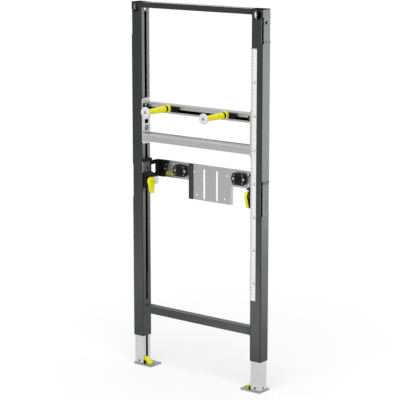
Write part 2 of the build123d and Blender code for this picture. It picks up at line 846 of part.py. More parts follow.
# Left lever: an arm that tapers from a wide head set a little forward, with a boss towards the base.
with BuildPart() as clamp_lever_left:
    with BuildSketch(side_plane(-lever_arm_x)):
        with Locations((post_mid_y - lever_head_lead, lever_height)):
            Circle(lever_head_diameter / 2)
        with Locations((post_mid_y, lever_height - lever_arm_length + lever_tip_diameter / 2)):
            Circle(lever_tip_diameter / 2)
        make_hull()
    extrude(amount=lever_arm_thickness)
    with BuildSketch(side_plane(-lever_arm_x)):
        with Locations((post_mid_y, lever_height)):
            Circle(lever_boss_diameter / 2)
    extrude(amount=-(swing_gap - lever_hub_gap))
    with BuildSketch(side_plane(-lever_base_x)):
        with Locations((post_mid_y, lever_height)):
            Circle(lever_pin_diameter / 2 + pin_gap)
    extrude(amount=lever_base_x - lever_hub_end_x, mode=Mode.SUBTRACT)
clamp_lever_left.part.label = "clamp_lever_left"

with BuildPart() as lever_base_right:
    mirror(lever_base_left.part, about=Plane.YZ)
lever_base_right.part.label = "lever_base_right"

with BuildPart() as lever_pin_right:
    mirror(lever_pin_left.part, about=Plane.YZ)
lever_pin_right.part.label = "lever_pin_right"

with BuildPart() as clamp_lever_right:
    mirror(clamp_lever_left.part, about=Plane.YZ)
clamp_lever_right.part.label = "clamp_lever_right"

export_step(post_left.part, "parts/post_left.step")
export_step(post_right.part, "parts/post_right.step")
export_step(post_plug_left.part, "parts/post_plug_left.step")
export_step(post_plug_right.part, "parts/post_plug_right.step")
export_step(top_crossbar.part, "parts/top_crossbar.step")
export_step(bottom_crossbar.part, "parts/bottom_crossbar.step")
export_step(scale_tape.part, "parts/scale_tape.step")
export_step(foot_tube_left.part, "parts/foot_tube_left.step")
export_step(foot_plate_left.part, "parts/foot_plate_left.step")
export_step(foot_clip_left.part, "parts/foot_clip_left.step")
export_step(foot_tube_right.part, "parts/foot_tube_right.step")
export_step(foot_plate_right.part, "parts/foot_plate_right.step")
export_step(foot_clip_right.part, "parts/foot_clip_right.step")
export_step(basin_rail.part, "parts/basin_rail.step")
export_step(front_bar.part, "parts/front_bar.step")
export_step(basin_bracket_left.part, "parts/basin_bracket_left.step")
export_step(basin_bracket_right.part, "parts/basin_bracket_right.step")
export_step(basin_clamp_left.part, "parts/basin_clamp_left.step")
export_step(basin_clamp_right.part, "parts/basin_clamp_right.step")
export_step(stud_rod_left.part, "parts/stud_rod_left.step")
export_step(stud_rod_right.part, "parts/stud_rod_right.step")
export_step(stud_slider_left.part, "parts/stud_slider_left.step")
export_step(stud_slider_right.part, "parts/stud_slider_right.step")
export_step(stud_ring_left.part, "parts/stud_ring_left.step")
export_step(stud_ring_right.part, "parts/stud_ring_right.step")
export_step(stud_sleeve_left.part, "parts/stud_sleeve_left.step")
export_step(stud_sleeve_right.part, "parts/stud_sleeve_right.step")
export_step(stud_cap_left.part, "parts/stud_cap_left.step")
export_step(stud_cap_right.part, "parts/stud_cap_right.step")
export_step(fitting_traverse.part, "parts/fitting_traverse.step")
export_step(drain_edge_strip.part, "parts/drain_edge_strip.step")
export_step(end_holder_left.part, "parts/end_holder_left.step")
export_step(end_holder_right.part, "parts/end_holder_right.step")
export_step(side_plate_left.part, "parts/side_plate_left.step")
export_step(side_plate_right.part, "parts/side_plate_right.step")
export_step(holder_tab_left.part, "parts/holder_tab_left.step")
export_step(holder_tab_right.part, "parts/holder_tab_right.step")
export_step(fitting_pad_left.part, "parts/fitting_pad_left.step")
export_step(fitting_pad_right.part, "parts/fitting_pad_right.step")
export_step(lever_base_left.part, "parts/lever_base_left.step")
export_step(lever_base_right.part, "parts/lever_base_right.step")
export_step(lever_pin_left.part, "parts/lever_pin_left.step")
export_step(lever_pin_right.part, "parts/lever_pin_right.step")
export_step(clamp_lever_left.part, "parts/clamp_lever_left.step")
export_step(clamp_lever_right.part, "parts/clamp_lever_right.step")
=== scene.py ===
"""Looks of the wash basin installation frame: finishes, small parts, stage, light and camera.

Metres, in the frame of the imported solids, which stay where they are. Each solid gets a finish by
its material slot. What is too small for the solids is built here and rides on their bodies.
"""

import json
import math

import bmesh
import bpy
from mathutils import Matrix, Vector


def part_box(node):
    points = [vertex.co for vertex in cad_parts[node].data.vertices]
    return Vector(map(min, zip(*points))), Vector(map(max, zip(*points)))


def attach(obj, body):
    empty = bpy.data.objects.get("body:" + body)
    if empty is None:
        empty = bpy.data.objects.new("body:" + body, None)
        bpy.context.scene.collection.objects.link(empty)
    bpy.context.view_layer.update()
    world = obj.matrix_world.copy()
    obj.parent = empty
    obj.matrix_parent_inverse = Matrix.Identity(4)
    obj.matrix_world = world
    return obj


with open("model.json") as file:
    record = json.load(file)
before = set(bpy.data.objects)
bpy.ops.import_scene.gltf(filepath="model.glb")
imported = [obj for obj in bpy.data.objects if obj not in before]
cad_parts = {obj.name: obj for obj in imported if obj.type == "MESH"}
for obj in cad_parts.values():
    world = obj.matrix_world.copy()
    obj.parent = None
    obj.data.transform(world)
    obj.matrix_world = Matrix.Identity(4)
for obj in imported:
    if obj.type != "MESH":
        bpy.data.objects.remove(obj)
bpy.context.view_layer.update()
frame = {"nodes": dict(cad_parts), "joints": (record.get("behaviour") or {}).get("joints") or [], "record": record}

# Camera that best fits the photograph's edges without lens shift, for a square picture.
CAMERA_PLACE = (2.9709, -3.6828, 1.5132)
CAMERA_AZIMUTH = 38.644
CAMERA_ELEVATION = 11.335
CAMERA_LENS = 143.286
CAMERA_SENSOR = 36.0

# Stage and light. The soft boxes light the painted steel alone.
FLOOR_SIZE = 60.0
FLOOR_COLOUR = (0.80, 0.80, 0.80, 1.0)
FLOOR_LIFT = 0.20
WORLD_SEEN = (1.0, 1.0, 1.0, 1.0)
WORLD_LIGHT = (1.0, 1.0, 1.0, 1.0)
WORLD_STRENGTH = 0.75
SUN_FROM = (0.35, -0.60, 0.72)
SUN_ANGLE = math.radians(60)
SUN_STRENGTH = 1.2
SOFT_BOXES = (
    # name, place, point it faces, size across, size up, power in watts
    ("side_box", (1.02, 1.30, 0.80), (0.0, 0.03, 0.95), 1.60, 1.30, 54.0),
    ("heel_box", (0.75, 0.72, 0.07), (0.25, 0.03, 0.14), 0.60, 0.12, 1.0),
    ("front_box", (-0.30, -1.00, 0.85), (0.23, 0.0, 0.95), 0.45, 1.10, 2.2),
    ("low_box", (-0.75, -0.90, 0.06), (-0.05, 0.0, 0.14), 1.20, 0.11, 4.0),
    ("near_box", (0.05, -0.50, 0.09), (0.25, 0.0, 0.13), 0.50, 0.15, 1.8),
    ("back_box", (-1.20, 1.55, 1.45), (0.0, 0.0, 1.15), 1.60, 0.50, 6.0),
)

# Colours of the finishes, as linear values from dark to light.
PAINT_DARK = (0.0125, 0.0145, 0.0158, 1.0)
PAINT_LIGHT = (0.0170, 0.0200, 0.0215, 1.0)
# painted shade for the insides of the tubes
INSIDE_SHADE_DARK = (0.004, 0.004, 0.005, 1.0)
INSIDE_SHADE_LIGHT = (0.008, 0.008, 0.009, 1.0)
GALVANISED_DARK = (0.410, 0.410, 0.410, 1.0)
GALVANISED_LIGHT = (0.450, 0.450, 0.445, 1.0)
ZINC_DARK = (0.57, 0.575, 0.58, 1.0)
ZINC_LIGHT = (0.66, 0.66, 0.665, 1.0)
DULL_DARK = (0.24, 0.25, 0.25, 1.0)
DULL_LIGHT = (0.33, 0.34, 0.34, 1.0)
YELLOW_DARK = (0.80, 0.78, 0.004, 1.0)
YELLOW_LIGHT = (0.87, 0.85, 0.008, 1.0)
PLATE_DARK = (0.31, 0.305, 0.325, 1.0)
PLATE_LIGHT = (0.40, 0.395, 0.415, 1.0)
# painted shade: darker grey for the plate inside the left post
INSERT_SHADE_DARK = (0.175, 0.178, 0.182, 1.0)
INSERT_SHADE_LIGHT = (0.225, 0.228, 0.232, 1.0)
# painted shade: olive for yellow plastic in shade
YELLOW_SHADE_DARK = (0.36, 0.345, 0.045, 1.0)
YELLOW_SHADE_LIGHT = (0.50, 0.475, 0.070, 1.0)
STRIP_DARK = (0.036, 0.038, 0.040, 1.0)
STRIP_LIGHT = (0.052, 0.054, 0.056, 1.0)
BLACK_DARK = (0.003, 0.003, 0.0035, 1.0)
BLACK_LIGHT = (0.006, 0.006, 0.0065, 1.0)
RUBBER_DARK = (0.004, 0.004, 0.005, 1.0)
RUBBER_LIGHT = (0.009, 0.009, 0.010, 1.0)
WHITE_DARK = (0.68, 0.66, 0.73, 1.0)
WHITE_LIGHT = (0.76, 0.74, 0.80, 1.0)
TAPE_DARK = (0.81, 0.81, 0.81, 1.0)
TAPE_LIGHT = (0.86, 0.86, 0.855, 1.0)
INK_DARK = (0.05, 0.05, 0.05, 1.0)
INK_LIGHT = (0.08, 0.08, 0.08, 1.0)

# Moulded and printed finishes: dark and light colour, roughness, scale of the grain, specular level
MOULDED = {
    "yellow_plastic": (YELLOW_DARK, YELLOW_LIGHT, 0.34, 1500.0, 0.25),
    "black_plastic": (BLACK_DARK, BLACK_LIGHT, 0.42, 1700.0, 0.18),
    "black_rubber": (RUBBER_DARK, RUBBER_LIGHT, 0.62, 1300.0, 0.25),
    "white_plastic": (WHITE_DARK, WHITE_LIGHT, 0.30, 1500.0, 0.5),
    "tape_white": (TAPE_DARK, TAPE_LIGHT, 0.48, 900.0, 0.5),
    "tape_ink": (INK_DARK, INK_LIGHT, 0.55, 900.0, 0.3),
    # painted shade: near black for the insides of the tubes
    "tube_inside": (INSIDE_SHADE_DARK, INSIDE_SHADE_LIGHT, 0.75, 900.0, 0.1),
    "plug_black": (BLACK_DARK, BLACK_LIGHT, 0.80, 1700.0, 0.0),
    "strip_grey": (STRIP_DARK, STRIP_LIGHT, 0.50, 1700.0, 0.2),
    # painted shade on yellow plastic
    "tag_olive": (YELLOW_SHADE_DARK, YELLOW_SHADE_LIGHT, 0.50, 900.0, 0.2),
}
# Zinc platings: dark and light colour, roughness
PLATINGS = {
    "zinc_steel": (ZINC_DARK, ZINC_LIGHT, 0.32),
    "dull_zinc": (DULL_DARK, DULL_LIGHT, 0.42),
    "plate_zinc": (PLATE_DARK, PLATE_LIGHT, 0.42),
    "insert_grey": (INSERT_SHADE_DARK, INSERT_SHADE_LIGHT, 0.55),
}
# Solids whose finish differs from their slot's
OWN_FINISHES = {
    "post_plug_left": "plug_black",
    "post_plug_right": "plug_black",
    "foot_plate_left": "plate_zinc",
    "foot_plate_right": "plate_zinc",
    "drain_edge_strip": "strip_grey",
}
# start and end of the colour ramps on their textures, and the radius that shading gives to edges
RAMP_START = 0.25
RAMP_END = 0.75
EDGE_ROUND = 0.0006

# Sides of the frame, the direction along x from each to the middle, and the axes of round parts.
SIDES = ("left", "right")
INWARD = (("left", 1), ("right", -1))
FORWARD = (0, -1, 0)
UPWARD = (0, 0, 1)
# part of a face's normal along an axis beyond which the face counts as turned that way
BEND_SLOPE = 0.2

# Meshes made here.
MM = 0.001
LATHE_STEPS = 32
SHARP_ANGLE = math.radians(38)
MERGE_DISTANCE = 1e-7
SMALL_BEVEL = 0.0004
BEVEL_SEGMENTS = 2
BEVEL_PROFILE = 0.6

# Measuring tape: marks every millimetre, centimetre and decimetre, with the decimetres numbered.
INK_PROUD = 0.00006
INK_BEVEL = 0.000015
TICK_STEP = 0.001
TICK_LINE = 0.00022
TICK_LONG = 0.0055
CENTIMETRE_STEPS = 10
CENTIMETRE_LINE = 0.0004
CENTIMETRE_LONG = 0.0120
DECIMETRE_STEPS = 100
DECIMETRE_LINE = 0.0008
DECIMETRE_TOP_DROP = 0.1021
DECIMETRE_NUMBERS = ("90", "80", "70", "60", "50", "40", "30")
NUMBER_TALL = 0.0075
NUMBER_GAP = 0.0022

# Posts and crossbars: depth of the painted shade on the insides, welds, and plates in the top holes.
POST_INSIDE = 0.0019
TUBE_INSIDE = 0.00095
BEAD_RADIUS = 0.0011
BEAD_RIPPLE = 0.78
BEAD_SIDES = 8
BEAD_STEP = 0.0016
INSERT_THICK = 0.0015
INSERT_DEPTH = 0.0025
# left, right, bottom and top edges of each plate from the hole's middle, its slot and its finish; the left plate's
# darker grey is painted shade and the right plate's brighter white is painted light
INSERTS = {
    "left": (-0.0148, -0.0027, -0.0076, 0.0125, "dull_zinc", "insert_grey"),
    "right": (-0.0195, -0.0078, -0.0160, 0.0125, "white_plastic", "tape_white"),
}

# Basin rail: washers of the clamps, and blocks, screws and plugs in the rail's ends.
WASHER_INNER = 0.0066
WASHER_OUTER = 0.0098
WASHER_THICK = 0.0014
BLOCK_DEEP = 0.0165
BLOCK_TALL = 0.0150
BLOCK_RISE = 0.0025
BLOCK_THICK = 0.0075
BLOCK_SCREW = 0.0030
BLOCK_SCREW_SETBACK = 0.0099
BLOCK_SCREW_RISE = 0.0075
# shares of the screw's radius, across and up
BLOCK_SCREW_HEAD = ((0.0, 0.15), (0.42, 0.15), (0.42, 0.40), (0.80, 0.35), (1.0, 0.0))
RAIL_PLUG_THICK = 0.0030
RAIL_PLUG_INSET = 0.0021

# Basin studs: screws in the caps' sockets, black rings on the sleeves as painted shade in their grooves, and ribs
# on the sliders.
STUD_SOCKET = 0.0021
STUD_SOCKET_SUNK = 0.0014
STUD_FACE_SUNK = 0.0007
STUD_RIM_SUNK = 0.0010
STUD_RIM_END = 0.0015
# shares of the rod's radius
STUD_FACE = 0.72
STUD_RIM = 0.80
GROOVE_SHADE_OUTER = 0.0099
GROOVE_SHADE_INNER = 0.0066
GROOVE_SHADE_LONG = 0.0078
SLIDER_RIB_COUNT = 6
SLIDER_RIB_PITCH = 0.0030
SLIDER_RIB_WIDE = 0.0014
SLIDER_RIB_PROUD = 0.0009
SLIDER_RIB_MARGIN = 0.0030

# Pads of the fitting rail: eyelets, bushes, backs and ribs.
PORT_SPACING = 0.038
EYELET_LIP = 0.0004
EYELET_WALL = 0.0009
EYELET_PROUD = 0.0004
BUSH_OUTER = 0.0044
BUSH_INNER = 0.0020
BUSH_SUNK = 0.0008
BUSH_LONG = 0.0040
BACK_RADIUS = 0.0045
BACK_THICK = 0.0018
PAD_RIB_COUNT = 5
PAD_RIB_PITCH = 0.0046
PAD_RIB_WIDE = 0.0020
PAD_RIB_TALL = 0.0210
PAD_RIB_PROUD = 0.0012

# Rest of the fitting rail: bends, screws of the side plates, rivets and the tag.
# distance of the drain panel's bends from the middle, and height of the sheet above them
PANEL_BEND = 0.0775
SHEET_TALL = 0.054
PLATE_SCREW = 0.0043
PLATE_SCREW_RISE = 0.0120
PLATE_SCREW_PROUD = 0.0006
# shares of the screw's radius and of the height it stands proud
PLATE_SCREW_HEAD = ((1.0, 0.0), (0.90, 1.0), (0.50, 1.0), (0.45, -1.0), (0.0, -1.0))
RIVET = 0.0021
# shares of the rivet's radius, across and up
RIVET_HEAD = ((1.0, 0.0), (0.85, 0.35), (0.45, 0.55), (0.0, 0.60))
# distance from the middle of the frame and drop below the sheet's top
RIVET_PLACES = ((0.1712, 0.0138), (0.1765, 0.0272))
HOLDER_WEB = 0.006
TAG_LEFT = -0.1760
TAG_WIDE = 0.030
TAG_DROP = 0.0330
TAG_TALL = 0.0130
TAG_BASE_TALL = 0.0039
TAG_THICK = 0.0022
# left and right ends and height of each prong of the tag
TAG_PRONGS = ((0.001, 0.008, 0.009), (0.012, 0.018, 0.0125), (0.021, 0.028, 0.010))

# Levers: screws on the pins and grip ribs.
LEVER_SCREW = 0.0024
LEVER_SCREW_PROUD = 0.0004
# shares of the screw's radius and of the height it stands proud
LEVER_SCREW_HEAD = ((1.0, 0.0), (0.90, 1.0), (0.0, 1.0))
LEVER_RIB_COUNT = 4
LEVER_RIB_PITCH = 0.0032
LEVER_RIB_RISE = 0.0064
LEVER_RIB_LONG = 0.0064
LEVER_RIB_WIDE = 0.0014
LEVER_RIB_PROUD = 0.0009

# Feet: collars of the floor holes, and keys, ribs and lug of the clips.
COLLAR_OUTER = 0.0078
COLLAR_PROUD = 0.0018
KEY_WIDE = 0.0065
KEY_DEEP = 0.0055
KEY_TALL = 0.0100
CLIP_RIB = 0.0010
CLIP_RIB_COUNT = 3
LUG_WIDE = 0.0085
LUG_DEEP = 0.0090
LUG_TALL = 0.0105


class Finish:
    """A node material in the making: a Principled shader fed by textures in object space."""

    def __init__(self, name, metallic=0.0, specular=0.5):
        self.material = bpy.data.materials.new(name)
        self.material.use_nodes = True
        self.tree = self.material.node_tree
        self.shader = self.tree.nodes["Principled BSDF"]
        self.shader.inputs["Metallic"].default_value = metallic
        self.shader.inputs["Specular IOR Level"].default_value = specular
        self.place = self.tree.nodes.new("ShaderNodeTexCoord").outputs["Object"]

    def link(self, source, node, socket):
        self.tree.links.new(source, node.inputs[socket])

    def stretched(self, stretch):
        """Object coordinates with each axis scaled."""
        mapping = self.tree.nodes.new("ShaderNodeMapping")
        mapping.inputs["Scale"].default_value = stretch
        self.link(self.place, mapping, "Vector")
        return mapping.outputs["Vector"]

    def noise(self, scale, detail=2.0, stretch=(1, 1, 1)):
        texture = self.tree.nodes.new("ShaderNodeTexNoise")
        texture.inputs["Scale"].default_value = scale
        texture.inputs["Detail"].default_value = detail
        self.link(self.stretched(stretch), texture, "Vector")
        return texture.outputs["Fac"]

    def cells(self, scale, stretch=(1, 1, 1)):
        """One value for each cell of a Voronoi pattern."""
        texture = self.tree.nodes.new("ShaderNodeTexVoronoi")
        texture.inputs["Scale"].default_value = scale
        self.link(self.stretched(stretch), texture, "Vector")
        split = self.tree.nodes.new("ShaderNodeSeparateColor")
        self.link(texture.outputs["Color"], split, "Color")
        return split.outputs["Red"]

    def between(self, factor, low, high):
        """A number that runs from low to high with the factor."""
        node = self.tree.nodes.new("ShaderNodeMapRange")
        node.inputs["To Min"].default_value = low
        node.inputs["To Max"].default_value = high
        self.link(factor, node, "Value")
        return node.outputs["Result"]

    def average(self, first, second):
        node = self.tree.nodes.new("ShaderNodeMath")
        node.operation = "MULTIPLY_ADD"
        node.inputs[1].default_value = 0.5
        self.link(first, node, 0)
        half = self.tree.nodes.new("ShaderNodeMath")
        half.operation = "MULTIPLY"
        half.inputs[1].default_value = 0.5
        self.link(second, half, 0)
        self.link(half.outputs[0], node, 2)
        return node.outputs[0]

    def colour(self, factor, dark, light):
        ramp = self.tree.nodes.new("ShaderNodeValToRGB")
        ramp.color_ramp.elements[0].position = RAMP_START
        ramp.color_ramp.elements[0].color = dark
        ramp.color_ramp.elements[1].position = RAMP_END
        ramp.color_ramp.elements[1].color = light
        self.link(factor, ramp, "Fac")
        self.link(ramp.outputs["Color"], self.shader, "Base Color")

    def roughness(self, factor, low, high):
        self.link(self.between(factor, low, high), self.shader, "Roughness")

    def bump(self, height, distance, strength):
        """Relief over edges that are slightly rounded."""
        rounded = self.tree.nodes.new("ShaderNodeBevel")
        rounded.inputs["Radius"].default_value = EDGE_ROUND
        relief = self.tree.nodes.new("ShaderNodeBump")
        relief.inputs["Distance"].default_value = distance
        relief.inputs["Strength"].default_value = strength
        self.link(height, relief, "Height")
        self.link(rounded.outputs["Normal"], relief, "Normal")
        self.link(relief.outputs["Normal"], self.shader, "Normal")


def painted_steel():
    """Satin powder coat: fine orange peel and slow changes of tone."""
    finish = Finish("painted_steel", specular=0.22)
    tone = finish.noise(scale=14.0, detail=4.0, stretch=(1, 1, 0.25))
    finish.colour(tone, PAINT_DARK, PAINT_LIGHT)
    finish.roughness(finish.noise(scale=60.0, detail=3.0), low=0.38, high=0.46)
    finish.bump(finish.noise(scale=1100.0), distance=0.00006, strength=0.30)
    return finish.material


def galvanised_steel():
    """Galvanised sheet: faint zinc spangle with rolling streaks along it."""
    finish = Finish("galvanised_steel", metallic=1.0)
    streaks = finish.noise(scale=160.0, detail=3.0, stretch=(0.06, 1, 1))
    spangle = finish.cells(scale=170.0)
    finish.colour(finish.average(spangle, streaks), GALVANISED_DARK, GALVANISED_LIGHT)
    finish.roughness(spangle, low=0.38, high=0.44)
    finish.bump(streaks, distance=0.00003, strength=0.3)
    return finish.material


def zinc_plate(name, dark, light, rough):
    """Zinc plating: fine drawing lines along the height and a soft cloudy tone."""
    finish = Finish(name, metallic=1.0)
    lines = finish.noise(scale=420.0, stretch=(1, 1, 0.04))
    clouds = finish.noise(scale=38.0, detail=4.0)
    finish.colour(finish.average(clouds, lines), dark, light)
    finish.roughness(finish.noise(scale=90.0, detail=3.0), low=rough - 0.04, high=rough + 0.06)
    finish.bump(lines, distance=0.00002, strength=0.3)
    return finish.material


def moulded(name, dark, light, rough, grain, specular):
    """Moulded plastic or rubber: a fine grain, and gloss that varies a little."""
    finish = Finish(name, specular=specular)
    finish.colour(finish.noise(scale=55.0, detail=4.0), dark, light)
    finish.roughness(finish.noise(scale=240.0, detail=3.0), low=rough - 0.05, high=rough + 0.07)
    finish.bump(finish.noise(scale=grain), distance=0.00005, strength=0.25)
    return finish.material


FINISHES = {"painted_steel": painted_steel(), "galvanised_steel": galvanised_steel()}
FINISHES.update({name: zinc_plate(name, *values) for name, values in PLATINGS.items()})
FINISHES.update({name: moulded(name, *values) for name, values in MOULDED.items()})

for part in frame["record"]["subparts"]:
    solid = frame["nodes"][part["node"]]
    solid.data.materials.clear()
    solid.data.materials.append(FINISHES[OWN_FINISHES.get(part["node"], part["material_slot"])])


def paint_inside_shade(name, across, depth, corners):
    """Gives the faces deeper than depth in a tube a near black finish as painted shade, judged by their corners or
    middles.

    Across are the two axes of the tube's section.
    """
    solid = frame["nodes"][name]
    low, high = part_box(name)
    solid.data.materials.append(FINISHES["tube_inside"])
    for face in solid.data.polygons:
        points = [face.center]
        if corners:
            points = [solid.data.vertices[index].co for index in face.vertices]
        places = [solid.matrix_world @ point for point in points]
        if all(low[i] + depth < place[i] < high[i] - depth for place in places for i in across):
            face.material_index = 1


def refinish(name, finish, chosen):
    """Gives another finish to the faces that chosen picks by their normal and their middle."""
    solid = frame["nodes"][name]
    solid.data.materials.append(FINISHES[finish])
    for face in solid.data.polygons:
        if chosen(face.normal, solid.matrix_world @ face.center):
            face.material_index = 1


# Painted shade: the insides of the posts, foot tubes and basin rail get the near black finish.
for side in SIDES:
    paint_inside_shade("post_" + side, (0, 1), POST_INSIDE, corners=True)
    paint_inside_shade("foot_tube_" + side, (0, 1), TUBE_INSIDE, corners=False)
paint_inside_shade("basin_rail", (1, 2), TUBE_INSIDE, corners=False)

# The bends of the bar under the basin rail and of the drain panel get the brighter zinc as a painted highlight.
refinish(
    "front_bar",
    "zinc_steel",
    lambda normal, place: normal.z > BEND_SLOPE and normal.y < -BEND_SLOPE,
)
panel_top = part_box("drain_edge_strip")[1].z - SHEET_TALL
refinish(
    "fitting_traverse",
    "zinc_steel",
    lambda normal, place: abs(normal.x) > BEND_SLOPE
    and abs(place.x) > PANEL_BEND
    and place.z < panel_top,
)


def mount(name):
    """The record's mount of that name."""
    return next(entry for entry in frame["record"]["mounts"] if entry["name"] == name)


def piece(name, mesh_data, body, slot, finish=None):
    """Turns a bmesh into a piece that rides on a body, with the slot's finish or one of its own."""
    bmesh.ops.remove_doubles(mesh_data, verts=mesh_data.verts, dist=MERGE_DISTANCE)
    bmesh.ops.recalc_face_normals(mesh_data, faces=mesh_data.faces)
    mesh = bpy.data.meshes.new(name)
    mesh_data.to_mesh(mesh)
    mesh_data.free()
    mesh.shade_smooth()
    mesh.set_sharp_from_angle(angle=SHARP_ANGLE)
    mesh.materials.append(FINISHES[finish or slot])
    made = bpy.data.objects.new(name, mesh)
    bpy.context.scene.collection.objects.link(made)
    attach(made, body)


def lathe(mesh_data, profile, base, axis, closed=False):
    """Turns (radius, height) points round an axis that starts at base."""
    tilt = Vector(UPWARD).rotation_difference(Vector(axis)).to_matrix().to_4x4()
    place = Matrix.Translation(base) @ tilt
    points = [mesh_data.verts.new(place @ Vector((radius, 0, height))) for radius, height in profile]
    ends = points[1:] + points[:1] if closed else points[1:]
    lines = [mesh_data.edges.new(pair) for pair in zip(points, ends)]
    bmesh.ops.spin(
        mesh_data,
        geom=points + lines,
        cent=base,
        axis=axis,
        angle=2 * math.pi,
        steps=LATHE_STEPS,
        use_merge=True,
        use_duplicate=False,
    )


def head(shares, radius, height):
    """Profile of a fastener's head from shares of its radius and height."""
    return [(across * radius, up * height) for across, up in shares]


def block(mesh_data, low, high, bevel=SMALL_BEVEL):
    """A box between two corners with rounded edges."""
    low, high = Vector(low), Vector(high)
    place = Matrix.Translation((low + high) / 2) @ Matrix.Diagonal((*(high - low), 1.0))
    made = bmesh.ops.create_cube(mesh_data, size=1.0, matrix=place)
    edges = {edge for corner in made["verts"] for edge in corner.link_edges}
    bmesh.ops.bevel(
        mesh_data,
        geom=list(edges),
        offset=bevel,
        segments=BEVEL_SEGMENTS,
        profile=BEVEL_PROFILE,
        affect="EDGES",
    )


# Marks and numbers of the measuring tape.
tape_low, tape_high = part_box("scale_tape")
decimetre_top = tape_high.z - DECIMETRE_TOP_DROP


def mark(mesh_data, height, line, right):
    """A flat ink line on the tape, from its left edge to the given x."""
    low = (tape_low.x, tape_low.y - INK_PROUD, height - line / 2)
    block(mesh_data, low, (right, tape_low.y, height + line / 2), INK_BEVEL)


ticks = bmesh.new()
lines = bmesh.new()
count = int((tape_high.z - tape_low.z) / TICK_STEP)
offset = (decimetre_top - tape_low.z) % TICK_STEP
for index in range(1, count):
    height = tape_low.z + offset + index * TICK_STEP
    steps_down = round((decimetre_top - height) / TICK_STEP)
    if steps_down % DECIMETRE_STEPS == 0:
        mark(lines, height, DECIMETRE_LINE, tape_high.x)
    elif steps_down % CENTIMETRE_STEPS == 0:
        mark(lines, height, CENTIMETRE_LINE, tape_low.x + CENTIMETRE_LONG)
    else:
        mark(ticks, height, TICK_LINE, tape_low.x + TICK_LONG)
piece("tape_ticks", ticks, "frame", None, "tape_ink")
piece("tape_lines", lines, "frame", None, "tape_ink")

numbers = bmesh.new()
upright = Matrix.Rotation(math.radians(90), 4, "X")
for index, digits in enumerate(DECIMETRE_NUMBERS):
    text = bpy.data.curves.new("digits", "FONT")
    text.body = digits
    text.size = NUMBER_TALL
    text.extrude = INK_PROUD / 2
    text.align_x = "RIGHT"
    drawn = bpy.data.objects.new("digits", text)
    flat = bpy.data.meshes.new_from_object(drawn)
    height = decimetre_top - index * DECIMETRE_STEPS * TICK_STEP + NUMBER_GAP
    place = Matrix.Translation((tape_high.x - NUMBER_GAP, tape_low.y - INK_PROUD / 2, height))
    flat.transform(place @ upright)
    numbers.from_mesh(flat)
    bpy.data.objects.remove(drawn)
    bpy.data.curves.remove(text)
    bpy.data.meshes.remove(flat)
piece("tape_numbers", numbers, "frame", None, "tape_ink")


def bead(mesh_data, x, low, high):
    """A rippled weld round the (y, z) rectangle where a crossbar meets a post."""
    corners = [(low[0], low[1]), (high[0], low[1]), (high[0], high[1]), (low[0], high[1])]
    path = []
    for (y0, z0), (y1, z1) in zip(corners, corners[1:] + corners[:1]):
        run = int(math.hypot(y1 - y0, z1 - z0) / BEAD_STEP)
        path += [(y0 + (y1 - y0) * i / run, z0 + (z1 - z0) * i / run) for i in range(run)]
    middle = Vector(((low[0] + high[0]) / 2, (low[1] + high[1]) / 2))
    rings = []
    for index, (y, z) in enumerate(path):
        radius = BEAD_RADIUS * (1.0 if index % 2 else BEAD_RIPPLE)
        outward = (Vector((y, z)) - middle).normalized()
        ring = []
        for turn in range(BEAD_SIDES):
            angle = 2 * math.pi * turn / BEAD_SIDES
            away = outward * math.sin(angle) * radius
            ring.append(mesh_data.verts.new((x + math.cos(angle) * radius, y + away.x, z + away.y)))
        rings.append(ring)
    for ring, following in zip(rings, rings[1:] + rings[:1]):
        for turn in range(BEAD_SIDES):
            after = (turn + 1) % BEAD_SIDES
            mesh_data.faces.new((ring[turn], ring[after], following[after], following[turn]))


welds = bmesh.new()
for name in ("top_crossbar", "bottom_crossbar"):
    bar_low, bar_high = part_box(name)
    for x in (bar_low.x, bar_high.x):
        bead(welds, x, (bar_low.y, bar_low.z), (bar_high.y, bar_high.z))
piece("crossbar_welds", welds, "frame", "painted_steel")

# Plates inside the posts behind the holes at the top, the left one darker as painted shade and the right one
# brighter as painted light.
for side, (left, right, bottom, top, slot, finish) in INSERTS.items():
    anchor = mount("wall_anchor_" + side)["pos_m"]
    x, z = anchor[0], anchor[2]
    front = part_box("post_" + side)[0].y + INSERT_DEPTH
    insert = bmesh.new()
    block(insert, (x + left, front, z + bottom), (x + right, front + INSERT_THICK, z + top))
    piece("post_insert_" + side, insert, "frame", slot, finish)

